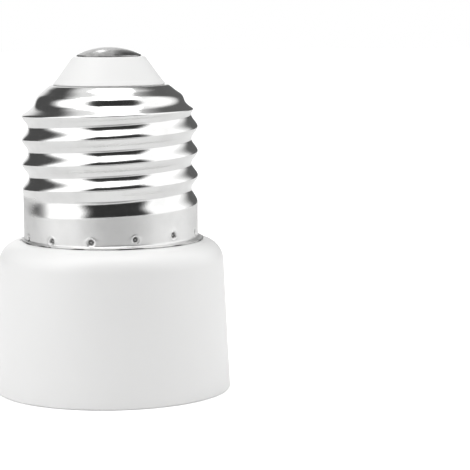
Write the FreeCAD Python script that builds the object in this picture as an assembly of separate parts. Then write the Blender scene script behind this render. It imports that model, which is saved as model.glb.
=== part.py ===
import FreeCAD, Part
import math
import os
from FreeCAD import Vector

# Light socket outlet adapter. It screws into a lamp holder by its threaded cap and takes a two-pin plug
# in its round outlet face. The part stands on that face: z = 0 is the face, +Z runs up through the screw
# cap, and the two plug slots lie side by side along X. All lengths are in millimetres.

# Housing: a round cup, slightly tapered, with a rounded shoulder and a hollow neck that carries the cap
shoulder_step = 2.5
rim_width = 1.47
side_taper = 1.0
body_height = 22.4
shoulder_round = 3.2
roof_thickness = 2.2
neck_wall = 3.58
key_width = 1.95
key_depth = 0.6

# A round corner or dome of a revolved piece is drawn as this many straight steps
arc_steps = 3

# Outlet cover: the disc in the housing's mouth, level with its rim
cover_thickness = 2.0
cover_gap = 0.08
ledge_width = 1.0
dimple_radius = 1.4
dimple_depth = 0.3
dimple_bevel = 1.0

# Plug slots: a flat slot for a blade joined to a round hole for a round pin, one each side of the middle
blade_spacing = 12.7
round_pin_spacing = 19.0
blade_slot_width = 1.9
blade_slot_length = 8.4
round_slot_radius = 2.5
slot_corner_round = 0.6
slot_mouth_chamfer = 0.4

# Screw cap: one thin rolled shell with a right-handed knuckle thread
thread_pitch = 3.629
thread_crest_radius = 13.06
thread_depth = 1.0
thread_facets = 6
thread_turns = 4
thread_fade_in_turns = 0.45
thread_fade_out_turns = 0.37
thread_rise = 7.6
thread_start_angle = math.radians(-185)
shell_wall = 0.3
skirt_step = 0.13
skirt_height = 6.3
lip_width = 0.57
lip_height = 0.45
foot_height = 2.0
cap_height = 22.9
dome_height = 4.3
dome_inset = 3.96
mouth_rim_width = 0.95
stake_count = 12
stake_first_angle = math.radians(-73.7)
stake_height = 1.0
stake_size = 0.9
stake_depth = 0.2

# Insulating tip and centre contact
tip_height = 4.2
tip_top_radius = 5.25
tip_overhang = 0.25
tip_flange_height = 1.8
contact_margin = 0.5
contact_dome_height = 1.1
contact_rim = 0.2
rivet_radius = 1.6
rivet_curl_width = 1.0
rivet_curl_height = 0.45

# Spring contacts: a folded brass strip with two leaves, one in each half of the housing
strip_thickness = 0.4
leaf_width = 8.0
leaf_height = 12.85
leaf_gap = 1.6
leaf_bow = 0.15
leaf_foot = 0.1
leaf_flare = 0.5
leaf_flare_height = 1.6
barrel_rise = 0.5
barrel_length = 2.6
tail_width = 2.6

# Wires from the spring contacts to the cap
wire_radius = 0.5
sleeve_wall = 0.5
bared_length = 1.5
trapped_end = 1.0

# Ribs inside the housing that hold the spring contacts
rib_thickness = 1.2
rib_overlap = 3.0
pad_clearance = 0.68
barrier_thickness = 1.6

# Clearances, how far a rib is sunk in the wall that it grows from, and how far a cut runs past its piece
fit_gap = 0.05
loose_gap = 0.15
neck_end_gap = 0.35
sink = 0.4
overshoot = 1.0

# Places that follow from the sizes above
skirt_radius = thread_crest_radius - skirt_step
lip_radius = skirt_radius + lip_width
cover_radius = lip_radius + shoulder_step
cavity_radius = cover_radius - ledge_width
seat_radius = cover_radius + cover_gap
face_radius = seat_radius + rim_width
shoulder_corner_radius = face_radius - side_taper
roof_low_z = body_height - roof_thickness
mouth_z = body_height + cap_height
thread_start_z = body_height + thread_rise + thread_pitch * thread_start_angle / (2 * math.pi)
bore_step_z = thread_start_z - thread_pitch / 2
neck_top_z = bore_step_z - neck_end_gap
shell_bore_radius = thread_crest_radius - thread_depth - shell_wall
skirt_bore_radius = skirt_radius - shell_wall
neck_radius = skirt_bore_radius - fit_gap
neck_bore_radius = neck_radius - neck_wall
dome_top_radius = thread_crest_radius - dome_inset
dome_slope = dome_inset / dome_height
dome_wall_shift = shell_wall * math.hypot(1, dome_slope)
mouth_radius = dome_top_radius - mouth_rim_width
tip_seat_z = mouth_z - shell_wall - fit_gap
tip_base_z = tip_seat_z - tip_flange_height
tip_top_z = mouth_z + tip_height
contact_radius = tip_top_radius - contact_margin
blade_x = blade_spacing / 2
round_pin_x = round_pin_spacing / 2
leaf_low_z = cover_thickness + loose_gap
inner_leaf_x = blade_x - leaf_gap / 2
outer_leaf_x = blade_x + leaf_gap / 2
trough_radius = round_slot_radius + loose_gap
contact_web_z = leaf_low_z + leaf_height
trapped_wire_x = skirt_bore_radius - wire_radius
wire_bore_radius = wire_radius + fit_gap
barrel_radius = wire_bore_radius + strip_thickness
barrel_low_z = contact_web_z + barrel_rise
barrel_high_z = barrel_low_z + barrel_length
trapped_wire_top_z = neck_top_z - trapped_end
sleeve_radius = wire_bore_radius + sleeve_wall


def dome_outside(z):
    """Outer radius of the cap's cone at height z."""
    return dome_top_radius + (mouth_z - z) * dome_slope


def dome_inside(z):
    """Inner radius of the cap's cone at height z."""
    return dome_outside(z) - dome_wall_shift


def revolved(points):
    """Solid of revolution about Z from (radius, z) corners."""
    corners = [Vector(radius, 0, z) for radius, z in points]
    outline = Part.makePolygon(corners + corners[:1])
    return Part.Face(outline).revolve(Vector(0, 0, 0), Vector(0, 0, 1), 360)


def arc_corners(start, end, centre):
    """Corners (radius, z) that follow an arc from start to end about centre, both ends included."""
    first = math.atan2(start[1] - centre[1], start[0] - centre[0])
    last = math.atan2(end[1] - centre[1], end[0] - centre[0])
    size = math.hypot(start[0] - centre[0], start[1] - centre[1])
    corners = []
    for step in range(arc_steps + 1):
        angle = first + (last - first) * step / arc_steps
        corners.append((centre[0] + size * math.cos(angle), centre[1] + size * math.sin(angle)))
    return corners


def block(x_low, x_high, y_low, y_high, z_low, z_high):
    """Box from its limits along each axis."""
    corner = Vector(x_low, y_low, z_low)
    return Part.makeBox(x_high - x_low, y_high - y_low, z_high - z_low, corner)


def disc(radius, z_low, z_high, x=0):
    """Upright cylinder between two heights."""
    return Part.makeCylinder(radius, z_high - z_low, Vector(x, 0, z_low))


def other_side(shape):
    """The same shape turned half a turn about Z, for the second plug pin."""
    turned = shape.copy()
    turned.rotate(Vector(0, 0, 0), Vector(0, 0, 1), 180)
    return turned


def flat_face(points, z):
    """Face at height z from corners (x, y); a corner with a third entry ends an arc through that point."""
    edges = []
    last = Vector(points[0][0], points[0][1], z)
    first = last
    for point in points[1:] + points[:1]:
        here = Vector(point[0], point[1], z)
        if len(point) == 3:
            via = Vector(point[2][0], point[2][1], z)
            edges.append(Part.Arc(last, via, here).toShape())
        else:
            edges.append(Part.LineSegment(last, here).toShape())
        last = here
    if last != first:
        raise ValueError("the outline is open")
    return Part.Face(Part.Wire(edges))


def slot_outline(grow=0.0):
    """Outline of one plug slot on the +X side, grown by a margin all round."""
    half_width = blade_slot_width / 2 + grow
    half_length = blade_slot_length / 2 + grow
    radius = round_slot_radius + grow
    left = blade_x - half_width
    right = blade_x + half_width
    return [
        (left, -half_length),
        (right, -half_length),
        (right, -radius),
        (round_pin_x, -radius),
        (round_pin_x, radius, (round_pin_x + radius, 0)),
        (right, radius),
        (right, half_length),
        (left, half_length),
    ]


def slot_cutter():
    """Through slot with rounded inner corners and a bevelled mouth, on the +X side."""
    cutter = flat_face(slot_outline(), -overshoot)
    cutter = cutter.extrude(Vector(0, 0, cover_thickness + 2 * overshoot))
    right = blade_x + blade_slot_width / 2
    near = 1e-4
    inner_corners = []
    for edge in cutter.Edges:
        box = edge.BoundBox
        upright = box.ZLength > cover_thickness
        at_corner = abs(box.Center.x - right) < near and abs(abs(box.Center.y) - round_slot_radius) < near
        if upright and at_corner:
            inner_corners.append(edge)
    cutter = cutter.makeFillet(slot_corner_round, inner_corners)
    wide = flat_face(slot_outline(slot_mouth_chamfer), 0)
    narrow = flat_face(slot_outline(), slot_mouth_chamfer)
    mouth = Part.makeLoft([wide.OuterWire, narrow.OuterWire], True, True)
    return cutter.fuse(mouth)


def make_outlet_cover():
    """Disc with two plug slots, two key notches and a shallow dimple in the middle."""
    cover = revolved([
        (0, 0),
        (cover_radius, 0),
        (cover_radius, cover_thickness),
        (0, cover_thickness),
    ])
    cutter = slot_cutter()
    cover = cover.cut(cutter).cut(other_side(cutter))
    notch_half = key_width / 2 + fit_gap
    notch_depth = key_depth + fit_gap
    for side in (-1, 1):
        low_y, high_y = sorted((side * (cover_radius - notch_depth), side * (cover_radius + overshoot)))
        notch = block(-notch_half, notch_half, low_y, high_y, -overshoot, cover_thickness + overshoot)
        cover = cover.cut(notch)
    dimple = revolved([
        (0, -dimple_bevel),
        (dimple_radius + dimple_bevel, -dimple_bevel),
        (dimple_radius, 0),
        (dimple_radius / 2, dimple_depth),
        (0, dimple_depth),
    ])
    return cover.cut(dimple)


def contact_holders():
    """Ribs on the +X side: two walls beside the spring contact and a pad that bears on its web."""
    rib_inside = leaf_width / 2 + loose_gap
    rib_outside = rib_inside + rib_thickness
    pad_low_z = contact_web_z + fit_gap
    rib_low_z = contact_web_z - rib_overlap
    pad_end_x = trapped_wire_x - barrel_radius - pad_clearance
    holders = block(outer_leaf_x, pad_end_x, -rib_inside, rib_inside, pad_low_z, roof_low_z + sink)
    for side in (-1, 1):
        low_y, high_y = sorted((side * rib_inside, side * rib_outside))
        rib = block(inner_leaf_x, face_radius, low_y, high_y, rib_low_z, roof_low_z + sink)
        holders = holders.fuse(rib)
    return holders


def make_housing():
    """Cup with a rounded shoulder, a stepped hollow neck, key blocks at the mouth and ribs inside."""
    draft = math.atan2(face_radius - shoulder_corner_radius, body_height)
    reach = shoulder_round * math.tan((math.pi / 2 - draft) / 2)
    side_end = (shoulder_corner_radius + reach * math.sin(draft), body_height - reach * math.cos(draft))
    top_start = (shoulder_corner_radius - reach, body_height)
    centre = (top_start[0], body_height - shoulder_round)
    outside = revolved(
        [(0, 0), (face_radius, 0)]
        + arc_corners(side_end, top_start, centre)
        + [(0, body_height)]
    )
    neck = disc(neck_radius, body_height - overshoot, neck_top_z)
    housing = outside.fuse(neck)
    cavity = disc(seat_radius, -overshoot, cover_thickness)
    cavity = cavity.fuse(disc(cavity_radius, cover_thickness - overshoot, roof_low_z))
    inside = disc(cavity_radius + sink, cover_thickness + fit_gap, roof_low_z + sink)
    holders = contact_holders()
    barrier = block(-barrier_thickness / 2, barrier_thickness / 2, -face_radius, face_radius,
                    cover_thickness + fit_gap, roof_low_z + sink)
    arm_gap = tail_width / 2 + loose_gap
    arm_room = block(-barrier_thickness, barrier_thickness, -arm_gap, arm_gap,
                     contact_web_z - strip_thickness - loose_gap, body_height)
    ribs = holders.fuse(other_side(holders)).fuse(barrier.cut(arm_room)).common(inside)
    housing = housing.cut(cavity).fuse(ribs)
    housing = housing.cut(disc(neck_bore_radius, roof_low_z, neck_top_z + overshoot))
    for side in (-1, 1):
        low_y, high_y = sorted((side * (cover_radius - key_depth), side * (seat_radius + sink)))
        housing = housing.fuse(block(-key_width / 2, key_width / 2, low_y, high_y, 0, cover_thickness))
    sleeve_hole = disc(sleeve_radius + loose_gap, roof_low_z - overshoot, body_height, -trapped_wire_x)
    groove = block(-neck_radius - overshoot, wire_bore_radius - trapped_wire_x, -wire_bore_radius,
                   wire_bore_radius, body_height - sink, trapped_wire_top_z + loose_gap)
    return housing.cut(sleeve_hole).cut(groove).removeSplitter()


def helical_curve(radius_at, rise, start, end, steps_per_turn=14):
    """Smooth curve round Z whose parameter counts turns from the start of the thread."""
    count = int(round((end - start) * steps_per_turn))
    points = []
    turns = []
    for index in range(count + 1):
        turn = start + (end - start) * index / count
        angle = thread_start_angle + 2 * math.pi * turn
        radius = radius_at(turn)
        height = thread_start_z + thread_pitch * turn + rise
        points.append(Vector(radius * math.cos(angle), radius * math.sin(angle), height))
        turns.append(turn)
    curve = Part.BSplineCurve()
    curve.interpolate(Points=points, Parameters=turns)
    return curve


def level_curve(radius, z, start, steps_per_turn=14):
    """One turn of a level ring that starts at the same angle as the thread."""
    points = []
    turns = []
    for index in range(steps_per_turn + 1):
        turn = index / steps_per_turn
        angle = thread_start_angle + 2 * math.pi * turn
        points.append(Vector(radius * math.cos(angle), radius * math.sin(angle), z))
        turns.append(start + turn)
    curve = Part.BSplineCurve()
    curve.interpolate(Points=points, Parameters=turns)
    return curve


def threaded_rod(crest, root, z_low, z_high):
    """Round rod with one helical groove that fades out at both ends, sewn from narrow ruled strips."""

    def groove_share(turn):
        into = min(1.0, max(0.0, turn / thread_fade_in_turns))
        out = min(1.0, max(0.0, (thread_turns - turn) / thread_fade_out_turns))
        return into * into * (3 - 2 * into) * out * out * (3 - 2 * out)

    def edge(position, end):
        wave = (1 + math.cos(2 * math.pi * position)) / 2

        def radius_at(turn):
            return crest + (root - crest) * wave * groove_share(turn)

        return helical_curve(radius_at, thread_pitch * position, 0, end)

    low_edge = edge(-0.5, thread_turns + 1)
    rising = [low_edge]
    for step in range(1, thread_facets):
        rising.append(edge(step / thread_facets - 0.5, thread_turns))
    faces = []
    for turn in range(thread_turns):
        edges = [curve.toShape(turn, turn + 1) for curve in rising]
        edges.append(low_edge.toShape(turn + 1, turn + 2))
        for lower, upper in zip(edges, edges[1:]):
            faces.append(Part.makeRuledSurface(lower, upper))
    for z, start in ((z_low, 0), (z_high, thread_turns)):
        ring = level_curve(crest, z, start)
        halves = []
        for begin in (start, start + 0.5):
            half = ring.toShape(begin, begin + 0.5)
            halves.append(half)
            faces.append(Part.makeRuledSurface(half, low_edge.toShape(begin, begin + 0.5)))
        faces.append(Part.Face(Part.Wire(halves)))
    skin = Part.Compound(faces)
    skin.sewShape(1e-4)
    return Part.Solid(skin.Shells[0])


def punch_mark(angle):
    """Four-sided point that is pushed a little way into the skirt at that angle."""
    base_radius = skirt_radius + stake_depth
    half = stake_size / 2
    base = [
        Vector(base_radius, -half, -half),
        Vector(base_radius, half, -half),
        Vector(base_radius, half, half),
        Vector(base_radius, -half, half),
    ]
    point = Vector(skirt_radius - stake_depth, 0, 0)
    faces = [Part.Face(Part.makePolygon(base + base[:1]))]
    for first, second in zip(base, base[1:] + base[:1]):
        faces.append(Part.Face(Part.makePolygon([first, second, point, first])))
    mark = Part.Solid(Part.makeShell(faces))
    mark.rotate(Vector(0, 0, 0), Vector(0, 0, 1), math.degrees(angle))
    mark.translate(Vector(0, 0, body_height + stake_height))
    return mark


def make_screw_shell():
    """Thin threaded cap: lip, skirt, knuckle thread, cone and open mouth."""
    foot_top_z = body_height + foot_height
    skirt_top_z = body_height + skirt_height
    beyond = thread_crest_radius + overshoot
    thread_end_z = thread_start_z + thread_pitch * (thread_turns + 1)
    rod = threaded_rod(thread_crest_radius, thread_crest_radius - thread_depth,
                       body_height + lip_height, max(mouth_z, thread_end_z) + overshoot)
    envelope = revolved([
        (0, foot_top_z),
        (skirt_radius, foot_top_z),
        (skirt_radius, skirt_top_z),
        (beyond, skirt_top_z + beyond - skirt_radius),
        (beyond, mouth_z - (beyond - dome_top_radius) / dome_slope),
        (dome_top_radius, mouth_z),
        (0, mouth_z),
    ])
    shell = rod.common(envelope)
    foot = revolved([
        (0, body_height),
        (lip_radius, body_height),
        (lip_radius, body_height + lip_height / 2),
        (skirt_radius, body_height + lip_height),
        (skirt_radius, foot_top_z),
        (0, foot_top_z),
    ])
    shell = shell.fuse(foot).removeSplitter()
    bore_top_z = mouth_z - (shell_bore_radius + dome_wall_shift - dome_top_radius) / dome_slope
    inside = revolved([
        (0, body_height - overshoot),
        (skirt_bore_radius, body_height - overshoot),
        (skirt_bore_radius, bore_step_z),
        (shell_bore_radius, bore_step_z),
        (shell_bore_radius, bore_top_z),
        (dome_inside(mouth_z - shell_wall), mouth_z - shell_wall),
        (0, mouth_z - shell_wall),
    ])
    shell = shell.cut(inside).cut(disc(mouth_radius, mouth_z - overshoot, mouth_z + overshoot))
    for index in range(stake_count):
        angle = stake_first_angle + 2 * math.pi * index / stake_count
        shell = shell.cut(punch_mark(angle))
    return shell


def make_tip_insulator():
    """White cone snapped into the cap's mouth: a flange below the lip, the wider cone above it."""
    tip_flange_radius = dome_inside(tip_seat_z) - fit_gap
    return revolved([
        (rivet_radius + fit_gap, tip_base_z),
        (tip_flange_radius, tip_base_z),
        (tip_flange_radius, tip_seat_z),
        (mouth_radius - fit_gap, tip_seat_z),
        (mouth_radius - fit_gap, mouth_z + fit_gap),
        (mouth_radius + tip_overhang, mouth_z + fit_gap),
        (tip_top_radius, tip_top_z),
        (rivet_radius + fit_gap, tip_top_z),
    ])


def make_centre_contact():
    """Domed rivet: its head is the centre contact, its hollow stem is curled over under the tip."""
    rim_z = tip_top_z + contact_rim
    top_z = rim_z + contact_dome_height
    curl_top_z = tip_base_z - fit_gap
    curl_low_z = curl_top_z - rivet_curl_height
    ball_radius = (contact_radius ** 2 + contact_dome_height ** 2) / (2 * contact_dome_height)
    head = revolved([(0, tip_top_z), (contact_radius, tip_top_z)]
                    + arc_corners((contact_radius, rim_z), (0, top_z), (0, top_z - ball_radius)))
    stem = disc(rivet_radius, curl_low_z, rim_z)
    curl = disc(rivet_radius + rivet_curl_width, curl_low_z, curl_top_z)
    bore = disc(wire_bore_radius, curl_low_z - overshoot, tip_top_z)
    return head.fuse(stem).fuse(curl).cut(bore).removeSplitter()


def make_spring_contact():
    """Folded strip on the +X side: a bowed leaf, a web, a leaf with a round trough, and a wire barrel."""
    t = strip_thickness
    half = leaf_width / 2
    web_low_z = contact_web_z - t
    bow_z = (leaf_low_z + web_low_z) / 2
    bow = [
        (inner_leaf_x - leaf_flare, leaf_low_z),
        (inner_leaf_x, leaf_low_z + leaf_flare_height),
        (inner_leaf_x + leaf_bow, bow_z),
        (inner_leaf_x - leaf_foot, contact_web_z),
    ]
    near_side = [Vector(x, -half, z) for x, z in bow]
    far_side = [Vector(x - t, -half, z) for x, z in reversed(bow)]
    strip = Part.Face(Part.makePolygon(near_side + far_side + near_side[:1]))
    leaf = strip.extrude(Vector(0, leaf_width, 0))
    inner = trough_radius
    outer = trough_radius + t
    trough = flat_face([
        (outer_leaf_x, -half),
        (outer_leaf_x + t, -half),
        (outer_leaf_x + t, -outer),
        (round_pin_x, -outer),
        (round_pin_x, outer, (round_pin_x + outer, 0)),
        (outer_leaf_x + t, outer),
        (outer_leaf_x + t, half),
        (outer_leaf_x, half),
        (outer_leaf_x, inner),
        (round_pin_x, inner),
        (round_pin_x, -inner, (round_pin_x + inner, 0)),
        (outer_leaf_x, -inner),
    ], leaf_low_z).extrude(Vector(0, 0, contact_web_z - leaf_low_z))
    web = block(inner_leaf_x - leaf_foot - t, round_pin_x, -half, half, web_low_z, contact_web_z)
    web = web.fuse(disc(outer, web_low_z, contact_web_z, round_pin_x))
    return leaf.fuse(web).fuse(trough)


def with_barrel(contact, x, arm_end_x):
    """Spring contact with an arm to x and a rolled barrel there, crimped round the bared wire."""
    web_low_z = contact_web_z - strip_thickness
    low_x, high_x = sorted((x, arm_end_x))
    arm = block(low_x, high_x, -tail_width / 2, tail_width / 2, web_low_z, contact_web_z)
    barrel = disc(barrel_radius, web_low_z, barrel_high_z, x)
    bore = disc(wire_bore_radius, barrel_low_z, barrel_high_z + overshoot, x)
    return contact.fuse(arm).fuse(barrel).cut(bore).removeSplitter()


def lead(x, low_z, high_z):
    """Bare straight conductor of a lead."""
    return disc(wire_radius, low_z, high_z, x)


def sleeve(x, low_z, high_z):
    """Insulation round a straight conductor."""
    bore = disc(wire_bore_radius, low_z - overshoot, high_z + overshoot, x)
    return disc(sleeve_radius, low_z, high_z, x).cut(bore)


def main():
    os.makedirs("parts", exist_ok=True)
    spring_contact = make_spring_contact()
    sleeve_low_z = barrel_high_z + loose_gap
    live_top_z = tip_top_z - loose_gap
    pieces = {
        "housing": make_housing(),
        "outlet_cover": make_outlet_cover(),
        "screw_shell": make_screw_shell(),
        "tip_insulator": make_tip_insulator(),
        "centre_contact": make_centre_contact(),
        "live_contact": with_barrel(spring_contact, 0, inner_leaf_x),
        "neutral_contact": with_barrel(other_side(spring_contact), -trapped_wire_x, -round_pin_x),
        "live_wire_conductor": lead(0, barrel_low_z, live_top_z),
        "live_wire_sleeve": sleeve(0, sleeve_low_z, tip_base_z - bared_length),
        "neutral_wire_conductor": lead(-trapped_wire_x, barrel_low_z, trapped_wire_top_z),
        "neutral_wire_sleeve": sleeve(-trapped_wire_x, sleeve_low_z, body_height - loose_gap),
    }
    for name, shape in pieces.items():
        solids = shape.Solids
        print(name, "solids", len(solids), "valid", shape.isValid(), "volume", round(shape.Volume, 2))
        solids[0].exportStep("parts/" + name + ".step")


main()
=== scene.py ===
import math
import random

import bmesh
import bpy
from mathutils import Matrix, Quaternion, Vector


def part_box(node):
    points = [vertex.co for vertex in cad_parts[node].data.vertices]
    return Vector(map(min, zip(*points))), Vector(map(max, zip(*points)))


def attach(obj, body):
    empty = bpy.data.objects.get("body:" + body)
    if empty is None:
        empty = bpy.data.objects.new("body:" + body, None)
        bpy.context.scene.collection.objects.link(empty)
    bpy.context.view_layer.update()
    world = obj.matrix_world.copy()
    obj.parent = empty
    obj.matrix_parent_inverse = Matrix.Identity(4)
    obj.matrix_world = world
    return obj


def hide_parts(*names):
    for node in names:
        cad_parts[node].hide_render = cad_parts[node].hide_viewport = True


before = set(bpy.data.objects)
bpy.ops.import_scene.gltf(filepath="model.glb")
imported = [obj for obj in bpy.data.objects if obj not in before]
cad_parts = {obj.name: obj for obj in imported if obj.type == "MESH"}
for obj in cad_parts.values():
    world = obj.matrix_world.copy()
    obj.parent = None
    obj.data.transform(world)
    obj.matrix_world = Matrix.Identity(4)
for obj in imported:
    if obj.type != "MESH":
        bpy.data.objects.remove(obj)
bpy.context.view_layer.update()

# Looks of a light socket outlet adapter that stands on its outlet face. Sizes are millimetres in the part's
# own frame unless a name says otherwise, and are turned into metres when a mesh is made.
MM = 0.001
FULL_TURN = 2 * math.pi


def node_reach(node):
    """Outer radius, lowest and highest z of a round piece of the frame."""
    low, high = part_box(node)
    return high.x / MM, low.z / MM, high.z / MM


face_radius, _, neck_top_z = node_reach("housing")
cover_radius, _, cover_high_z = node_reach("outlet_cover")
lip_radius, body_height, mouth_z = node_reach("screw_shell")
tip_flange_radius, tip_base_z, tip_top_z = node_reach("tip_insulator")
contact_radius, rivet_low_z, contact_top_z = node_reach("centre_contact")

# Housing
shoulder_corner_radius = 16.55
shoulder_round = 3.3
foot_round = 0.32
seam_round = 0.18
neck_edge_round = 0.2
roof_edge_round = 0.3
ledge_edge_round = 0.1
cover_gap = 0.08
ledge_width = 1.0
roof_thickness = 2.2
neck_bore_radius = 9.0
neck_inset = 0.92
key_width = 1.95
key_depth = 0.6
key_gap = 0.05
barrier_thickness = 1.6
rib_thickness = 1.2
rib_low_z = 12.0
rib_inside = 4.15
rib_start_x = 5.55
rib_sunk = 0.3
pad_x = (7.15, 10.5)
pad_low_z = 15.05
arm_room_y = 1.45
arm_room_z = 14.45
sleeve_hole_radius = 1.2
groove_half_width = 0.55
groove_end_gap = 0.85
trapped_wire_x = 12.13
cut_past = 1.0
cut_overlap = 0.5

# Outlet cover and plug slots
blade_x = 6.35
round_pin_x = 9.5
blade_slot_width = 1.9
blade_slot_length = 8.4
round_slot_radius = 2.5
slot_inner_round = 0.6
slot_end_round = 0.25
slot_mouth_round = 0.4
cover_edge_round = 0.3
flat_margin = 0.05
dimple_radius = 1.4
dimple_depth = 0.3

# Thread of the screw cap: the first groove is lifted at its start and spreads over its first turn
thread_pitch = 3.629
thread_crest_radius = 12.99
thread_depth = 0.94
thread_turns = 4
thread_fade_in_turns = 0.45
thread_fade_in_ease = 1.6
thread_fade_out_turns = 0.37
thread_groove_z_at_x_axis = 30.0
thread_start_angle = math.radians(-185)
first_groove_spread = 0.2
first_groove_lift = 0.24
first_lift_turns = 0.27
first_spread_turns = (0.5, 1.0)
crest_sharpness = 0.87

# Skirt of the screw cap, with its punch marks as (degrees from the front, z)
sheet = 0.3
skirt_radius = 12.9
skirt_blend_z = (26.2, 30.0)
stakes = [
    (-69, 23.05), (-41.5, 23.32), (-13, 23.38), (15.6, 23.7), (44.5, 23.9), (73, 23.75),
    (104, 23.6), (135, 23.45), (166, 23.55), (197, 23.4), (228, 23.5), (259, 23.3),
]
stake_floor_radius = 0.18
stake_edge_radius = 0.54
stake_ring_radius = 0.68
stake_ring_width = 0.1
stake_depth = 0.3
stake_ring_height = 0.06
stake_button_radius = 0.14
stake_button_height = 0.1
stake_zone_z = 24.6
stake_half_angle = math.radians(3.2)
columns_on_stake = 22
columns_between = 13

# Lip of the screw cap: points inside, at its edge and above it, as distances from the face that each follows
# and heights over the shoulder
lip_inside = [(0, 0.36), (0.06, 0.14), (0.2, 0.04), (0.42, 0)]
lip_edge = [(0.12, 0), (0.04, 0.04), (0, 0.1), (0.01, 0.16), (0.05, 0.22), (0.12, 0.27)]
lip_above = [(0.26, 0.29), (0.12, 0.35), (0.04, 0.46)]
lip_height = 0.62
lip_wobble = 0.1
lip_offset = 0.22
# Heights over the shoulder over which the painted shade along the lip's lower edge fades out
lip_shade_z = (0.1, 0.26)

# End of the screw cap as (radius, z), lifted on one side of its waist, and its turned-in mouth as distances
# from the mouth's edge
dome_points = [
    (13.5, 40.43), (13.0, 40.78), (12.55, 41.08), (12.1, 41.38), (11.67, 41.68), (11.34, 41.98),
    (11.13, 42.3), (11.0, 42.65), (10.88, 43.0), (10.72, 43.35), (10.5, 43.7), (10.2, 44.02),
    (9.86, 44.35), (9.5, 44.67), (9.12, 44.98), (8.75, 45.25),
]
dome_low_z = dome_points[0][1]
dome_blend = 0.28
waist_lift = 0.62
waist_lift_angle = math.radians(-50)
waist_lift_fade_z = (43.2, 44.7)
mouth_radius = 8.15
mouth_curl = [(0.12, 0), (0.04, -0.03), (0, -0.1), (0, 0.08 - sheet), (0.06, -sheet)]

# A sloping wall is thicker when it is measured level
wall_on_dome = 1.35 * sheet
wall_on_thread = 1.1 * sheet

# Steps between the rows of the screw cap's mesh
stake_row_step = 0.06
skirt_row_step = 0.3
thread_row_step = 0.15
dome_row_step = 0.1
inner_row_step = 0.6

# Tip
tip_bore_radius = 1.65
tip_gap = 0.05
tip_foot_radius = 8.38
tip_bend_radius = 7.72
tip_bend_rise = 0.85
tip_bend_round = 3.0
tip_top_radius = 5.3
tip_top_round = 0.35
tip_top_drop = 0.02
tip_edge_round = 0.1
contact_overlap = 0.5

# Contact on the tip: its head, its hollow stem and the curl under the tip as (radius, height over its end)
contact_rim = 0.2
contact_edge = (0.1, 0.08)
contact_seat_gap = 0.005
stem_radius = 1.6
stem_bore_radius = 0.55
stem_bore_end = 0.1
curl = [(2.4, 0), (2.6, 0.15), (2.6, 0.3), (2.45, 0.45), (stem_radius, 0.45)]

# Studio and camera, in metres
card_centre_z = 0.03
lamp_aim = (0, 0, 0.025)
lamp_distance = 0.9
camera_place = (0, -0.29866, 0.05951)
camera_yaw = 0.0617
camera_pitch = 0.1224
camera_roll = math.radians(-0.35)
camera_lens = 154.6

random.seed(7)


def rounded(corners, steps):
    """Closed outline from corners (x, y, round), each rounded by its own radius."""
    outline = []
    for index, (x, y, size) in enumerate(corners):
        here = Vector((x, y))
        if size <= 0:
            outline.append(here)
            continue
        before = (Vector(corners[index - 1][:2]) - here).normalized()
        after = (Vector(corners[(index + 1) % len(corners)][:2]) - here).normalized()
        half = before.angle(after) / 2
        centre = here + (before + after).normalized() * (size / math.sin(half))
        first = here + before * (size / math.tan(half)) - centre
        last = here + after * (size / math.tan(half)) - centre
        start = math.atan2(first.y, first.x)
        sweep = math.atan2(last.y, last.x) - start
        sweep -= FULL_TURN * round(sweep / FULL_TURN)
        for step in range(steps + 1):
            angle = start + sweep * step / steps
            outline.append(centre + size * Vector((math.cos(angle), math.sin(angle))))
    return outline


def smooth_step(low, high, value):
    """0 below low, 1 above high, and a soft rise between."""
    share = min(1.0, max(0.0, (value - low) / (high - low)))
    return share * share * (3 - 2 * share)


def soft_least(first, second, width):
    """The smaller of two values, rounded where they meet."""
    share = min(1.0, max(0.0, 0.5 + (second - first) / (2 * width)))
    return second + (first - second) * share - width * share * (1 - share)


def bell(distance, width):
    """1 at no distance, and a soft fall to 0 over about twice the width."""
    return math.exp(-(distance / width) ** 2)


def turn_between(first, second):
    """Angle from one direction to another, at most half a turn either way."""
    return (second - first + math.pi) % FULL_TURN - math.pi


def circle(radius, z, count):
    """Points of a level circle about Z."""
    angles = [FULL_TURN * index / count for index in range(count)]
    return [(radius * math.cos(angle), radius * math.sin(angle), z) for angle in angles]


def spread(low, high, step):
    """Evenly spaced heights from low up to but not including high."""
    count = max(1, round((high - low) / step))
    return [low + (high - low) * index / count for index in range(count)]


def add_ring(mesh, points):
    """Vertices at points given in millimetres."""
    return [mesh.verts.new(Vector(point) * MM) for point in points]


def join_rings(mesh, first, second):
    """Faces between two closed rings; a ring of one vertex is a pole."""
    count = max(len(first), len(second))
    if count == 1:
        return
    for index in range(count):
        corners = [
            first[index % len(first)],
            first[(index + 1) % len(first)],
            second[(index + 1) % len(second)],
            second[index % len(second)],
        ]
        mesh.faces.new(list(dict.fromkeys(corners)))


def lathe(outline, columns):
    """Mesh of revolution about Z from a closed outline (radius, z)."""
    mesh = bmesh.new()
    rings = []
    for radius, z in outline:
        on_axis = radius < 1e-6
        rings.append(add_ring(mesh, [(0, 0, z)] if on_axis else circle(radius, z, columns)))
    for first, second in zip(rings, rings[1:] + rings[:1]):
        join_rings(mesh, first, second)
    return mesh


def box_mesh(low, high):
    """Box from its two corners."""
    mesh = bmesh.new()
    made = bmesh.ops.create_cube(mesh, size=1)
    for vertex in made["verts"]:
        for axis in range(3):
            vertex.co[axis] = (low[axis] if vertex.co[axis] < 0 else high[axis]) * MM
    return mesh


def mesh_object(name, mesh):
    """Object from a bmesh, with its faces turned outwards."""
    bmesh.ops.recalc_face_normals(mesh, faces=mesh.faces)
    data = bpy.data.meshes.new(name)
    mesh.to_mesh(data)
    mesh.free()
    made = bpy.data.objects.new(name, data)
    bpy.context.scene.collection.objects.link(made)
    return made


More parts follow.
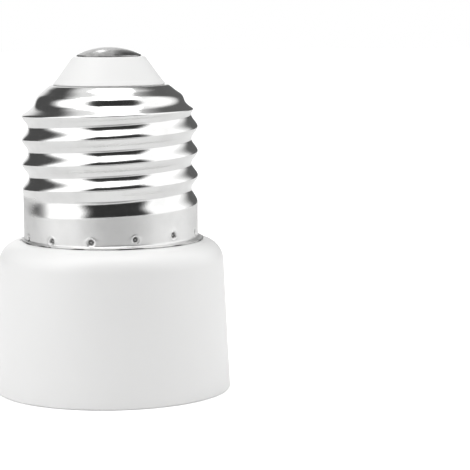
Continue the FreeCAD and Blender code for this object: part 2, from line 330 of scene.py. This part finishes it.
def combine(target, operation, tools):
    """Joins other meshes to a piece, or cuts them from it, and removes them."""
    for tool in tools:
        modifier = target.modifiers.new("combine", "BOOLEAN")
        modifier.operation = operation
        modifier.solver = "EXACT"
        modifier.object = tool
        bpy.context.view_layer.update()
        shown = target.evaluated_get(bpy.context.evaluated_depsgraph_get())
        result = bpy.data.meshes.new_from_object(shown)
        target.modifiers.remove(modifier)
        target.data = result
        bpy.data.objects.remove(tool)


def dress(piece, material, node, sharp_degrees=32):
    """Smooth shading, finish and body of a piece, and the node that it takes the place of."""
    piece.data.materials.clear()
    piece.data.materials.append(material)
    piece.data.polygons.foreach_set("use_smooth", [True] * len(piece.data.polygons))
    piece.data.set_sharp_from_angle(angle=math.radians(sharp_degrees))
    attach(piece, "root")
    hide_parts(node)


def dress_node(node, material, bevel_mm=0):
    """Gives a piece of the frame its finish and softened edges."""
    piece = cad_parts[node]
    piece.data.materials.clear()
    piece.data.materials.append(material)
    weld = piece.modifiers.new("weld", "WELD")
    weld.merge_threshold = 0.002 * MM
    if bevel_mm:
        bevel = piece.modifiers.new("soft_edges", "BEVEL")
        bevel.width = bevel_mm * MM
        bevel.segments = 2
        bevel.limit_method = "ANGLE"
        bevel.angle_limit = math.radians(50)
        bevel.harden_normals = True


def socket_value(shader, **values):
    """Sets constant values on a shader's own sockets; underscores stand for spaces."""
    for name, value in values.items():
        shader.inputs[name.replace("_", " ")].default_value = value


class Finish:
    """Procedural material: a principled shader and helpers that add detail nodes."""

    def __init__(self, name, colour, roughness, metallic=0.0):
        self.material = bpy.data.materials.new(name)
        self.material.use_nodes = True
        self.tree = self.material.node_tree
        self.shader = self.tree.nodes["Principled BSDF"]
        socket_value(self.shader, Base_Color=(*colour, 1), Roughness=roughness, Metallic=metallic)
        self.place = self.tree.nodes.new("ShaderNodeTexCoord").outputs["Object"]
        self.normal = None

    def node(self, kind, **inputs):
        """New node; an input is a constant or another node's output."""
        made = self.tree.nodes.new(kind)
        for name, value in inputs.items():
            socket = made.inputs[name.replace("_", " ")]
            if hasattr(value, "is_linked"):
                self.tree.links.new(value, socket)
            else:
                socket.default_value = value
        return made

    def attribute(self, name):
        """Value that the mesh's vertices carry under that name."""
        made = self.tree.nodes.new("ShaderNodeAttribute")
        made.attribute_name = name
        return made.outputs["Fac"]

    def noise(self, feature_mm, detail=4.0, stretch=(1, 1, 1)):
        """Noise with features of about that size, stretched along chosen axes."""
        scale = [1 / (feature_mm * MM * part) for part in stretch]
        mapping = self.node("ShaderNodeMapping", Vector=self.place, Scale=scale)
        made = self.node("ShaderNodeTexNoise", Vector=mapping.outputs["Vector"], Scale=1.0, Detail=detail)
        return made.outputs["Fac"]

    def remap(self, value, low, high, start=0.3, end=0.7):
        """Value moved from the range between start and end to the one between low and high."""
        made = self.node("ShaderNodeMapRange", Value=value, From_Min=start, From_Max=end,
                         To_Min=low, To_Max=high)
        return made.outputs["Result"]

    def blend_colour(self, value, other):
        """Lays another colour over the present one where the value is 1."""
        base = self.shader.inputs["Base Color"]
        mix = self.tree.nodes.new("ShaderNodeMix")
        mix.data_type = "RGBA"
        self.tree.links.new(value, mix.inputs["Factor"])
        if base.is_linked:
            self.tree.links.new(base.links[0].from_socket, mix.inputs["A"])
        else:
            mix.inputs["A"].default_value = base.default_value
        mix.inputs["B"].default_value = (*other, 1)
        self.tree.links.new(mix.outputs["Result"], base)

    def vary_roughness(self, value):
        self.tree.links.new(value, self.shader.inputs["Roughness"])

    def bump(self, height, distance_mm, strength=1.0):
        """Adds fine relief to what is there already."""
        made = self.node("ShaderNodeBump", Height=height, Distance=distance_mm * MM, Strength=strength)
        if self.normal is not None:
            self.tree.links.new(self.normal, made.inputs["Normal"])
        self.normal = made.outputs["Normal"]
        self.tree.links.new(self.normal, self.shader.inputs["Normal"])


def white_plastic(name, colour, roughness, grain_mm):
    """Moulded white plastic: faint cloudiness, fine grain and uneven gloss."""
    finish = Finish(name, colour, roughness)
    socket_value(finish.shader, IOR=1.5, Specular_IOR_Level=0.5)
    cloud = finish.remap(finish.noise(9.0, detail=2), 0, 1)
    finish.blend_colour(cloud, tuple(part * 0.99 for part in colour))
    patchy = finish.noise(2.2, detail=3)
    finish.vary_roughness(finish.remap(patchy, roughness - 0.02, roughness + 0.02))
    finish.bump(finish.noise(6.0, detail=1), distance_mm=0.008, strength=0.5)
    finish.bump(finish.noise(0.16, detail=3), distance_mm=grain_mm)
    return finish.material


def plated_steel(name):
    """Bright sheet: mirror-like where it is rolled, satin on the drawn skirt, painted shade in the punch
    marks and along the lip's lower edge.
    """
    finish = Finish(name, (0.75, 0.75, 0.745), roughness=0.1, metallic=1.0)
    streak = finish.noise(0.22, detail=4, stretch=(18, 18, 1))
    satin = finish.remap(streak, 0.38, 0.46)
    bright = finish.remap(finish.noise(1.4, detail=4), 0.07, 0.15)
    mix = finish.node("ShaderNodeMix", Factor=finish.attribute("rolled"), A=satin, B=bright)
    finish.vary_roughness(mix.outputs["Result"])
    tarnish = finish.remap(finish.noise(3.0, detail=5), 0, 1, start=0.45, end=0.75)
    finish.blend_colour(tarnish, (0.69, 0.69, 0.685))
    # Painted shade: near black where the screw cap's mesh marks the punch marks' pits and the lip's lower
    # edge
    finish.blend_colour(finish.attribute("painted_shade"), (0.06, 0.06, 0.06))
    finish.bump(streak, distance_mm=0.0015, strength=0.5)
    finish.bump(finish.noise(0.3, detail=3), distance_mm=0.006, strength=0.6)
    finish.bump(finish.noise(2.6, detail=2, stretch=(2, 2, 1)), distance_mm=0.02, strength=0.5)
    return finish.material


def soldered_metal(name):
    """Dull tinned contact with a slightly uneven skin."""
    finish = Finish(name, (0.43, 0.43, 0.425), roughness=0.3, metallic=1.0)
    finish.blend_colour(finish.remap(finish.noise(0.9, detail=5), 0, 1), (0.28, 0.28, 0.275))
    finish.vary_roughness(finish.remap(finish.noise(0.6, detail=4), 0.12, 0.24))
    finish.bump(finish.noise(2.2, detail=2), distance_mm=0.09, strength=0.7)
    finish.bump(finish.noise(0.2, detail=3), distance_mm=0.008, strength=0.6)
    return finish.material


def strip_metal(name, colour, stain):
    """Rolled spring strip or wire: fine draw lines along Z and faint stains."""
    finish = Finish(name, colour, roughness=0.3, metallic=1.0)
    lines = finish.noise(0.09, detail=3, stretch=(1, 1, 30))
    finish.blend_colour(finish.remap(finish.noise(1.7, detail=5), 0, 1, start=0.4, end=0.7), stain)
    finish.vary_roughness(finish.remap(lines, 0.22, 0.42))
    finish.bump(lines, distance_mm=0.006, strength=0.7)
    return finish.material


def wire_sleeve(name, colour):
    """Extruded insulation: soft sheen and faint lines along the wire."""
    finish = Finish(name, colour, roughness=0.45)
    lines = finish.noise(0.12, detail=3, stretch=(1, 1, 25))
    finish.blend_colour(finish.remap(lines, 0, 1), tuple(part * 0.85 for part in colour))
    finish.vary_roughness(finish.remap(finish.noise(0.4), 0.38, 0.52))
    finish.bump(lines, distance_mm=0.01, strength=0.6)
    return finish.material


def make_housing(material):
    """Cup with a rounded shoulder, hollow neck, key blocks, ribs and the barrier inside."""
    roof_low_z = body_height - roof_thickness
    cavity_radius = cover_radius - ledge_width
    seat_radius = cover_radius + cover_gap
    neck_radius = lip_radius - neck_inset
    outline = rounded([
        (seat_radius, 0, seam_round),
        (face_radius, 0, foot_round),
        (shoulder_corner_radius, body_height, shoulder_round),
        (neck_radius, body_height, 0),
        (neck_radius, neck_top_z, neck_edge_round),
        (neck_bore_radius, neck_top_z, neck_edge_round),
        (neck_bore_radius, roof_low_z, neck_edge_round),
        (cavity_radius, roof_low_z, roof_edge_round),
        (cavity_radius, cover_high_z, ledge_edge_round),
        (seat_radius, cover_high_z, 0),
    ], steps=14)
    housing = mesh_object("housing_shell", lathe(outline, columns=320))
    rib_reach = math.sqrt(cavity_radius ** 2 - (rib_inside + rib_thickness) ** 2) + rib_sunk
    rib_top_z = roof_low_z + rib_sunk
    half_barrier = barrier_thickness / 2
    barrier_low_z = cover_high_z + key_gap
    ribs = []
    for side in (-1, 1):
        near, far = sorted((side * rib_start_x, side * rib_reach))
        for y_low in (rib_inside, -rib_inside - rib_thickness):
            ribs.append(box_mesh((near, y_low, rib_low_z), (far, y_low + rib_thickness, rib_top_z)))
        near, far = sorted((side * pad_x[0], side * pad_x[1]))
        pad_side = rib_inside + rib_sunk
        ribs.append(box_mesh((near, -pad_side, pad_low_z), (far, pad_side, rib_top_z)))
        near, far = sorted((side * arm_room_y, side * (cavity_radius + rib_sunk)))
        ribs.append(box_mesh((-half_barrier, near, barrier_low_z), (half_barrier, far, rib_top_z)))
        near, far = sorted((side * (cover_radius - key_depth), side * (seat_radius + rib_sunk)))
        ribs.append(box_mesh((-key_width / 2, near, 0), (key_width / 2, far, cover_high_z + rib_sunk)))
    ribs.append(box_mesh((-half_barrier, -arm_room_y - rib_sunk, barrier_low_z),
                         (half_barrier, arm_room_y + rib_sunk, arm_room_z)))
    combine(housing, "UNION", [mesh_object("rib", rib) for rib in ribs])
    bore_low_z = roof_low_z - cut_past
    bore_high_z = neck_top_z + cut_past
    bore = lathe([(0, bore_low_z), (neck_bore_radius, bore_low_z),
                  (neck_bore_radius, bore_high_z), (0, bore_high_z)], columns=320)
    hole_high_z = body_height + cut_overlap
    sleeve_hole = lathe([(0, bore_low_z), (sleeve_hole_radius, bore_low_z),
                         (sleeve_hole_radius, hole_high_z), (0, hole_high_z)], columns=48)
    bmesh.ops.translate(sleeve_hole, verts=sleeve_hole.verts, vec=(-trapped_wire_x * MM, 0, 0))
    groove = box_mesh((-neck_radius - cut_past, -groove_half_width, body_height - cut_overlap),
                      (groove_half_width - trapped_wire_x, groove_half_width, neck_top_z - groove_end_gap))
    combine(housing, "DIFFERENCE", [mesh_object("hole", tool) for tool in (bore, sleeve_hole, groove)])
    dress(housing, material, "housing")


def cover_loop(shrink):
    """Outer edge of the outlet cover with its two key notches, drawn in by a margin."""
    radius = cover_radius - shrink
    half = key_width / 2 + key_gap + shrink
    edge_angle = math.asin(half / radius)
    edge_y = radius * math.cos(edge_angle)
    floor_y = cover_radius - key_depth - key_gap - shrink
    middle_y = edge_y + (floor_y - edge_y) * 0.5
    notch = [(half, middle_y), (half, floor_y), (half / 2, floor_y), (0, floor_y), (-half / 2, floor_y),
             (-half, floor_y), (-half, middle_y)]
    sweep = math.pi - 2 * edge_angle
    steps = 120
    loop = []
    for side in (1, -1):
        first = edge_angle - side * math.pi / 2
        for step in range(steps + 1):
            angle = first + sweep * step / steps
            loop.append(Vector((radius * math.cos(angle), radius * math.sin(angle))))
        loop += [Vector((side * x, side * y)) for x, y in notch]
    return loop


def slot_loop(side, grow):
    """Outline of one plug slot: a flat slot joined to a round hole, grown by a margin."""
    left = blade_x - blade_slot_width / 2 - grow
    right = blade_x + blade_slot_width / 2 + grow
    length = blade_slot_length / 2 + grow
    radius = round_slot_radius + grow
    tip = round_pin_x + radius
    ends = slot_end_round + grow
    inner = slot_inner_round - grow
    corners = [
        (left, -length, ends),
        (right, -length, ends),
        (right, -radius, inner),
        (tip, -radius, radius),
        (tip, radius, radius),
        (right, radius, inner),
        (right, length, ends),
        (left, length, ends),
    ]
    return [point * side for point in rounded(corners, steps=10)]


def quarter_round(loop, size):
    """Loops (points, z) up a wall from the flat face: a margin, a rounded edge and the straight wall."""
    loops = [(loop(size + flat_margin), 0)]
    steps = 8
    for step in range(steps + 1):
        turn = math.pi / 2 * step / steps
        loops.append((loop(size * (1 - math.sin(turn))), size * (1 - math.cos(turn))))
    loops.append((loop(0), cover_high_z))
    return loops


def make_outlet_cover(material):
    """Disc with two plug slots whose mouths are rounded, two key notches and a shallow dimple."""
    mesh = bmesh.new()
    low_edges = []
    high_edges = []
    walls = [quarter_round(cover_loop, cover_edge_round)]
    for side in (-1, 1):
        walls.append(quarter_round(lambda grow: slot_loop(side, grow), slot_mouth_round))
    for loops in walls:
        rings = [add_ring(mesh, [(point.x, point.y, z) for point in points]) for points, z in loops]
        for first, second in zip(rings, rings[1:]):
            join_rings(mesh, first, second)
        for ring, edges in ((rings[0], low_edges), (rings[-1], high_edges)):
            for index, vertex in enumerate(ring):
                edges.append(mesh.edges.get((vertex, ring[(index + 1) % len(ring)])))
    count = 64
    rim = [add_ring(mesh, circle(dimple_radius + flat_margin, 0, count)),
           add_ring(mesh, circle(dimple_radius, 0, count))]
    for index, vertex in enumerate(rim[0]):
        low_edges.append(mesh.edges.new((vertex, rim[0][(index + 1) % count])))
    steps = 8
    for step in range(1, steps):
        share = step / steps
        depth = dimple_depth * math.sin(math.pi / 2 * share)
        rim.append(add_ring(mesh, circle(dimple_radius * (1 - share), depth, count)))
    rim.append(add_ring(mesh, [(0, 0, dimple_depth)]))
    for first, second in zip(rim, rim[1:]):
        join_rings(mesh, first, second)
    bmesh.ops.triangle_fill(mesh, edges=low_edges, use_beauty=True)
    bmesh.ops.triangle_fill(mesh, edges=high_edges, use_beauty=True)
    dress(mesh_object("outlet_face", mesh), material, "outlet_cover")


def groove_at(angle, z):
    """Share of the full thread depth at a point of the cap, from 0 on the crest to 1 in the groove."""
    start_z = thread_groove_z_at_x_axis + thread_pitch * thread_start_angle / FULL_TURN
    round_share = ((angle - thread_start_angle) / FULL_TURN) % 1.0
    height = (z - start_z) / thread_pitch
    turn = max(0, math.floor(height - round_share + 0.5)) + round_share
    if turn > thread_turns:
        return 0.0
    lift = first_groove_lift * (1 - smooth_step(0, first_lift_turns, turn))
    below = lift + first_groove_spread / 2 * (1 - smooth_step(*first_spread_turns, turn))
    offset = height - turn - lift
    offset *= 0.5 / (0.5 + below if offset < 0 else 0.5 - lift)
    if offset < -0.5:
        return 0.0
    wave = (1 + math.cos(FULL_TURN * offset)) / 2
    fade_in = 1 - (1 - min(1.0, turn / thread_fade_in_turns)) ** thread_fade_in_ease
    fade_out = smooth_step(0, thread_fade_out_turns, thread_turns - turn)
    return wave ** crest_sharpness * fade_in * fade_out


def rolled_share(angle, z):
    """1 where the sheet is rolled bright, from the first groove up, and 0 on the drawn skirt."""
    round_share = ((angle - thread_start_angle) / FULL_TURN) % 1.0
    spread_here = first_groove_spread * (1 - smooth_step(*first_spread_turns, round_share))
    turns = round_share + thread_start_angle / FULL_TURN - 0.5 - 0.5 * spread_here
    start_z = thread_groove_z_at_x_axis + thread_pitch * turns
    begun = max(smooth_step(0.02, 0.17, round_share), smooth_step(start_z + 2.6, start_z + 3.4, z))
    return smooth_step(start_z - 0.1, start_z + 0.15, z) * begun


def dome_radius(z):
    """Outer radius of the cap's end, read along its smooth outline."""
    points = dome_points
    for index in range(len(points) - 1):
        low_radius, low_z = points[index]
        high_radius, high_z = points[index + 1]
        if z > high_z and index < len(points) - 2:
            continue
        before = points[max(0, index - 1)]
        after = points[min(len(points) - 1, index + 2)]
        share = (z - low_z) / (high_z - low_z)
        slope_low = (high_radius - before[0]) / (high_z - before[1]) * (high_z - low_z)
        slope_high = (after[0] - low_radius) / (after[1] - low_z) * (high_z - low_z)
        cube = share ** 3
        square = share ** 2
        return (low_radius * (2 * cube - 3 * square + 1) + slope_low * (cube - 2 * square + share)
                + high_radius * (3 * square - 2 * cube) + slope_high * (cube - square))


def skin_radius(angle, z):
    """Outer radius of the cap at a point of its skirt, thread or end."""
    crest = skirt_radius + (thread_crest_radius - skirt_radius) * smooth_step(*skirt_blend_z, z)
    radius = crest - thread_depth * groove_at(angle, z)
    if z > dome_low_z:
        fade = 1 - smooth_step(*waist_lift_fade_z, z)
        lift = waist_lift * (1 + math.cos(angle - waist_lift_angle)) / 2 * fade
        radius = soft_least(radius, dome_radius(max(z - lift, dome_low_z)), dome_blend)
    return radius


def stake_shape(angle, z, marks):
    """Radial push of the punch marks (pit, low button in it, ring round it) and the painted shade darkening
    the pit.
    """
    push = 0.0
    shade = 0.0
    for mark_angle, mark_z, size in marks:
        distance = math.hypot(turn_between(mark_angle, angle) * skirt_radius, z - mark_z) / size
        if distance < 2 * stake_edge_radius:
            pit = 1 - smooth_step(stake_floor_radius, stake_edge_radius, distance)
            ring = bell(distance - stake_ring_radius, stake_ring_width)
            button = bell(distance, stake_button_radius)
            push += stake_ring_height * ring - stake_depth * pit + stake_button_height * button
            shade += pit * (1 - 0.7 * button)
    return push, shade


def stake_columns(marks):
    """Column angles round the cap, close together at the punch marks."""
    angles = []
    for index, (middle, _, _) in enumerate(marks):
        following = marks[(index + 1) % len(marks)][0]
        sector = (following - middle) % FULL_TURN
        for step in range(columns_on_stake):
            angles.append(middle - stake_half_angle + 2 * stake_half_angle * step / columns_on_stake)
        for step in range(columns_between):
            between_marks = sector - 2 * stake_half_angle
            angles.append(middle + stake_half_angle + between_marks * step / columns_between)
    return angles


def uneven_lip():
    """Two functions of the angle: how far the lip strays outwards, and how much painted shade darkens its
    lower edge.
    """
    waves = [(random.randint(3, 23), random.uniform(0, FULL_TURN)) for _ in range(6)]
    dents = [(random.uniform(0, FULL_TURN), random.uniform(0.02, 0.07), random.uniform(0.3, 1.0))
             for _ in range(26)]
    # Patches of painted shade along the lip's lower edge
    shade_patches = [(random.uniform(0, FULL_TURN), random.uniform(0.01, 0.09)) for _ in range(34)]

    def stray(angle):
        waving = sum(math.sin(count * angle + shift) for count, shift in waves) / len(waves)
        dented = sum(depth * bell(turn_between(middle, angle), width) for middle, width, depth in dents)
        return lip_wobble * (waving - 0.8 * dented) + lip_offset * math.cos(angle)

    # Painted shade along the lip's lower edge: a faint band all round with darker patches
    def lip_shade(angle):
        return min(1.0, 0.25 + sum(bell(turn_between(middle, angle), width) for middle, width in shade_patches))

    return stray, lip_shade


def make_screw_shell(material):
    """Thin rolled cap: flared lip, staked skirt, knuckle thread, domed end and turned-in mouth."""
    marks = [(math.radians(degrees - 90), z, random.uniform(0.94, 1.08)) for degrees, z in stakes]
    angles = stake_columns(marks)
    stray, lip_shade = uneven_lip()
    inner_radius = skirt_radius - sheet
    top_radius, top_z = dome_points[-1]
    lip = [(inner_radius + out, body_height + up) for out, up in lip_inside]
    lip += [(lip_radius - into, body_height + up) for into, up in lip_edge]
    lip += [(skirt_radius + out, body_height + up) for out, up in lip_above]
    heights = spread(body_height + lip_height, stake_zone_z, stake_row_step)
    heights += spread(stake_zone_z, skirt_blend_z[0], skirt_row_step)
    heights += spread(skirt_blend_z[0], dome_low_z, thread_row_step)
    heights += spread(dome_low_z, top_z, dome_row_step)
    mouth = [(top_radius, top_z), (top_radius - 0.2, mouth_z - 0.01)]
    mouth += [(mouth_radius + out, mouth_z + up) for out, up in mouth_curl]
    mouth.append((top_radius - 0.15, mouth_z - sheet))
    inner_heights = [body_height + 0.6, body_height + 3.0]
    inner_heights += spread(skirt_blend_z[0], top_z - 0.45, inner_row_step)
    rows = []
    for radius, z in lip:
        share = smooth_step(inner_radius, lip_radius, radius)
        rows.append([(radius + share * stray(angle), z) for angle in angles])
    for z in heights:
        rows.append([(skin_radius(angle, z) + stake_shape(angle, z, marks)[0], z) for angle in angles])
    for point in mouth:
        rows.append([point] * len(angles))
    for z in reversed(inner_heights):
        wall = wall_on_dome if z > dome_low_z else wall_on_thread
        rows.append([(skin_radius(angle, z) - wall, z) for angle in angles])
    mesh = bmesh.new()
    rolled = mesh.verts.layers.float.new("rolled")
    painted_shade = mesh.verts.layers.float.new("painted_shade")
    rings = []
    for row in rows:
        ring = add_ring(mesh, [(radius * math.cos(angle), radius * math.sin(angle), z)
                               for (radius, z), angle in zip(row, angles)])
        for vertex, (_, z), angle in zip(ring, row, angles):
            vertex[rolled] = rolled_share(angle, z)
            # Painted shade along the lip's lower edge, where it meets the housing, and in the punch marks'
            # pits
            if z < stake_zone_z:
                over_lip = smooth_step(body_height + lip_shade_z[0], body_height + lip_shade_z[1], z)
                vertex[painted_shade] = min(1.0, lip_shade(angle) * (1 - over_lip) + stake_shape(angle, z, marks)[1])
        rings.append(ring)
    for first, second in zip(rings, rings[1:] + rings[:1]):
        join_rings(mesh, first, second)
    dress(mesh_object("screw_cap", mesh), material, "screw_shell", sharp_degrees=60)


def make_tip_insulator(material):
    """White cone snapped in the cap's mouth, with a flange below the turned-in edge."""
    seat_z = mouth_z - sheet - tip_gap
    foot_z = mouth_z + tip_gap
    waist_radius = mouth_radius - tip_gap
    outline = rounded([
        (tip_bore_radius, tip_base_z, tip_edge_round),
        (tip_flange_radius, tip_base_z, 0.25),
        (tip_flange_radius, seat_z, tip_edge_round),
        (waist_radius, seat_z, 0),
        (waist_radius, foot_z, 0),
        (tip_foot_radius, foot_z, 0.12),
        (tip_bend_radius, mouth_z + tip_bend_rise, tip_bend_round),
        (tip_top_radius, tip_top_z - tip_top_drop, tip_top_round),
        (contact_radius - contact_overlap, tip_top_z, 0),
        (tip_bore_radius, tip_top_z, tip_edge_round),
    ], steps=8)
    tip = mesh_object("tip_cone", lathe(outline, columns=192))
    dress(tip, material, "tip_insulator", sharp_degrees=40)


def make_centre_contact(material):
    """Domed contact head on a hollow stem that is curled over under the tip."""
    cap_height = contact_top_z - tip_top_z - contact_rim
    ball_radius = (contact_radius ** 2 + cap_height ** 2) / (2 * cap_height)
    seat_z = tip_top_z + contact_seat_gap
    outline = [(contact_radius - contact_edge[0], seat_z), (contact_radius, tip_top_z + contact_edge[1])]
    steps = 24
    for step in range(steps + 1):
        radius = contact_radius * (1 - step / steps)
        outline.append((radius, contact_top_z - ball_radius + math.sqrt(ball_radius ** 2 - radius ** 2)))
    bore_end_z = tip_top_z + stem_bore_end
    outline += [(0, bore_end_z), (stem_bore_radius, bore_end_z), (stem_bore_radius, rivet_low_z)]
    outline += [(radius, rivet_low_z + up) for radius, up in curl]
    outline.append((stem_radius, seat_z))
    contact = mesh_object("tip_contact", lathe(outline, columns=128))
    dress(contact, material, "centre_contact", sharp_degrees=50)


def direction(azimuth, elevation):
    """Way out from the object, from degrees; azimuth 0 is in front and 90 on the right."""
    a = math.radians(azimuth)
    e = math.radians(elevation)
    return math.sin(a) * math.cos(e), -math.cos(a) * math.cos(e), math.sin(e)


def between(ends, share):
    return ends[0] + (ends[1] - ends[0]) * share


def soft_edges(ends, value, low_soft, high_soft):
    """1 well inside the range between two ends, fading to 0 at each of them."""
    return smooth_step(0, low_soft, value - ends[0]) * smooth_step(0, high_soft, ends[1] - value)


def card_mesh(columns, rows, place):
    """Grid that fades at its edges; place turns two shares into a point and how solid the card is there."""
    mesh = bmesh.new()
    layer = mesh.verts.layers.float.new("cover")
    lines = []
    for row in range(rows + 1):
        line = []
        for column in range(columns + 1):
            point, cover = place(column / columns, row / rows)
            vertex = mesh.verts.new(point)
            vertex[layer] = cover
            line.append(vertex)
        lines.append(line)
    for low, high in zip(lines, lines[1:]):
        for index in range(columns):
            mesh.faces.new((low[index], low[index + 1], high[index + 1], high[index]))
    return mesh


def dome_patch(azimuths, elevations, soft, radius=0.75):
    """Part of a sphere round the object, in degrees; soft is how far its left, right, lower and upper edges
    fade."""
    def place(column_share, row_share):
        azimuth = between(azimuths, column_share)
        elevation = between(elevations, row_share)
        x, y, z = direction(azimuth, elevation)
        cover = soft_edges(azimuths, azimuth, *soft[:2]) * soft_edges(elevations, elevation, *soft[2:])
        return (radius * x, radius * y, card_centre_z + radius * z), cover

    columns, rows = (max(8, round((high - low) / 3)) for low, high in (azimuths, elevations))
    return card_mesh(columns, rows, place)


def floor_patch(x_ends, y_ends, z, soft):
    """Level rectangle whose edges fade over soft, in metres."""
    def place(column_share, row_share):
        x = between(x_ends, column_share)
        y = between(y_ends, row_share)
        edge = min(x - x_ends[0], x_ends[1] - x, y - y_ends[0], y_ends[1] - y)
        return (x, y, z), smooth_step(0, soft, edge)

    return card_mesh(24, 24, place)


def make_card(name, mesh, level, seen_by="glossy"):
    """Studio card or panel that is seen by mirrors, by soft light or by both."""
    card = mesh_object(name, mesh)
    material = bpy.data.materials.new(name)
    material.use_nodes = True
    tree = material.node_tree
    tree.nodes.remove(tree.nodes["Principled BSDF"])
    glow = tree.nodes.new("ShaderNodeEmission")
    glow.inputs["Color"].default_value = (level, level, level, 1)
    clear = tree.nodes.new("ShaderNodeBsdfTransparent")
    cover = tree.nodes.new("ShaderNodeAttribute")
    cover.attribute_name = "cover"
    mix = tree.nodes.new("ShaderNodeMixShader")
    tree.links.new(cover.outputs["Fac"], mix.inputs["Fac"])
    tree.links.new(clear.outputs["BSDF"], mix.inputs[1])
    tree.links.new(glow.outputs["Emission"], mix.inputs[2])
    tree.links.new(mix.outputs["Shader"], tree.nodes["Material Output"].inputs["Surface"])
    card.data.materials.append(material)
    card.visible_camera = False
    card.visible_shadow = False
    card.visible_glossy = seen_by != "diffuse"
    card.visible_diffuse = seen_by != "glossy"


def seen_directly(tree):
    """1 where a camera, mirror or glass ray looks straight at the background, else 0."""
    path = tree.nodes.new("ShaderNodeLightPath")
    seen = path.outputs["Is Camera Ray"]
    for other in ("Is Glossy Ray", "Is Transmission Ray"):
        either = tree.nodes.new("ShaderNodeMath")
        either.operation = "MAXIMUM"
        tree.links.new(seen, either.inputs[0])
        tree.links.new(path.outputs[other], either.inputs[1])
        seen = either.outputs[0]
    return seen


def make_world(soft_level):
    """White surroundings for the eye and for mirrors, and even soft light for the rest."""
    world = bpy.data.worlds.new("studio")
    bpy.context.scene.world = world
    world.use_nodes = True
    tree = world.node_tree
    background = tree.nodes["Background"]
    background.inputs["Color"].default_value = (1, 1, 1, 1)
    strength = tree.nodes.new("ShaderNodeMapRange")
    tree.links.new(seen_directly(tree), strength.inputs["Value"])
    strength.inputs["To Min"].default_value = soft_level
    strength.inputs["To Max"].default_value = 1.0
    tree.links.new(strength.outputs["Result"], background.inputs["Strength"])


def make_floor(lift_level):
    """Pale floor that reads as white to the camera but keeps the object's shadow."""
    mesh = bmesh.new()
    bmesh.ops.create_grid(mesh, x_segments=2, y_segments=2, size=1.6)
    floor = mesh_object("floor", mesh)
    material = bpy.data.materials.new("floor")
    material.use_nodes = True
    tree = material.node_tree
    shader = tree.nodes["Principled BSDF"]
    socket_value(shader, Base_Color=(0.8, 0.8, 0.8, 1), Roughness=0.9, Specular_IOR_Level=0.0,
                 Emission_Color=(1, 1, 1, 1))
    path = tree.nodes.new("ShaderNodeLightPath")
    lift = tree.nodes.new("ShaderNodeMath")
    lift.operation = "MULTIPLY"
    tree.links.new(path.outputs["Is Camera Ray"], lift.inputs[0])
    lift.inputs[1].default_value = lift_level
    tree.links.new(lift.outputs[0], shader.inputs["Emission Strength"])
    floor.data.materials.append(material)


def make_lamp(name, azimuth, elevation, size, power):
    """Soft square lamp aimed at the middle of the object; angles in degrees, size in metres."""
    data = bpy.data.lights.new(name, "AREA")
    data.size = size
    data.energy = power
    lamp = bpy.data.objects.new(name, data)
    outwards = Vector(direction(azimuth, elevation))
    lamp.location = Vector(lamp_aim) + outwards * lamp_distance
    lamp.rotation_mode = "QUATERNION"
    lamp.rotation_quaternion = (-outwards).to_track_quat("-Z", "Y")
    bpy.context.scene.collection.objects.link(lamp)


def make_camera():
    """Camera at the photograph's place: straight ahead, a little above the cap, turned slightly right."""
    data = bpy.data.cameras.new("camera")
    data.sensor_width = 36.0
    data.lens = camera_lens
    data.clip_start = 0.01
    data.clip_end = 10
    camera = bpy.data.objects.new("camera", data)
    forward = Vector((math.sin(camera_yaw) * math.cos(camera_pitch),
                      math.cos(camera_yaw) * math.cos(camera_pitch), -math.sin(camera_pitch)))
    camera.location = camera_place
    camera.rotation_mode = "QUATERNION"
    camera.rotation_quaternion = forward.to_track_quat("-Z", "Y") @ Quaternion((0, 0, 1), camera_roll)
    bpy.context.scene.collection.objects.link(camera)
    bpy.context.scene.camera = camera


def make_object():
    make_housing(white_plastic("body_plastic", (0.86, 0.86, 0.855), 0.36, grain_mm=0.004))
    make_outlet_cover(white_plastic("face_plastic", (0.85, 0.85, 0.845), 0.40, grain_mm=0.005))
    make_screw_shell(plated_steel("plated_steel"))
    make_tip_insulator(white_plastic("tip_plastic", (0.81, 0.81, 0.805), 0.46, grain_mm=0.002))
    make_centre_contact(soldered_metal("soldered_metal"))
    strip = strip_metal("spring_strip", (0.60, 0.60, 0.585), stain=(0.47, 0.47, 0.455))
    copper = strip_metal("copper_wire", (0.80, 0.45, 0.30), stain=(0.70, 0.36, 0.22))
    for side in ("live", "neutral"):
        dress_node(side + "_contact", strip, bevel_mm=0.06)
        dress_node(side + "_wire_conductor", copper)
    dress_node("live_wire_sleeve", wire_sleeve("black_sleeve", (0.03, 0.03, 0.03)))
    dress_node("neutral_wire_sleeve", wire_sleeve("white_sleeve", (0.8, 0.8, 0.78)))


def make_studio():
    """White room; its cards give the bright metal dark rings and bars, and its panels the highlights."""
    make_floor(lift_level=0.45)
    make_world(soft_level=0.88)
    make_card("card_front", dome_patch((-46, 62), (1, 63), (20, 20, 10, 12)), 0.04, "both")
    make_card("card_left", dome_patch((-164, -86), (-9, 64), (12, 26, 5, 16)), 0.09)
    make_card("card_right", dome_patch((120, 178), (-9, 76), (22, 8, 5, 30)), 0.14)
    make_card("panel_left", dome_patch((-100, -30), (-9, 70), (14, 14, 5, 20), radius=0.8), 1.5)
    make_card("panel_right", dome_patch((46, 124), (-9, 70), (14, 14, 5, 20), radius=0.8), 1.4, "both")
    make_card("panel_behind", dome_patch((180, 190), (30, 39), (4, 4, 4, 4), radius=0.8), 5.0)
    make_card("card_floor", floor_patch((-0.09, 0.13), (-0.5, -0.06), z=0.0005, soft=0.05), 0.42)
    make_card("shade_back", dome_patch((110, 250), (4, 60), (20, 20, 5, 20), radius=0.85), 0.45, "diffuse")
    make_lamp("key", azimuth=-60, elevation=50, size=0.5, power=2.2)
    make_lamp("top", azimuth=30, elevation=85, size=0.8, power=3.4)
    make_camera()
    bpy.context.scene.view_settings.view_transform = "Standard"


make_object()
make_studio()
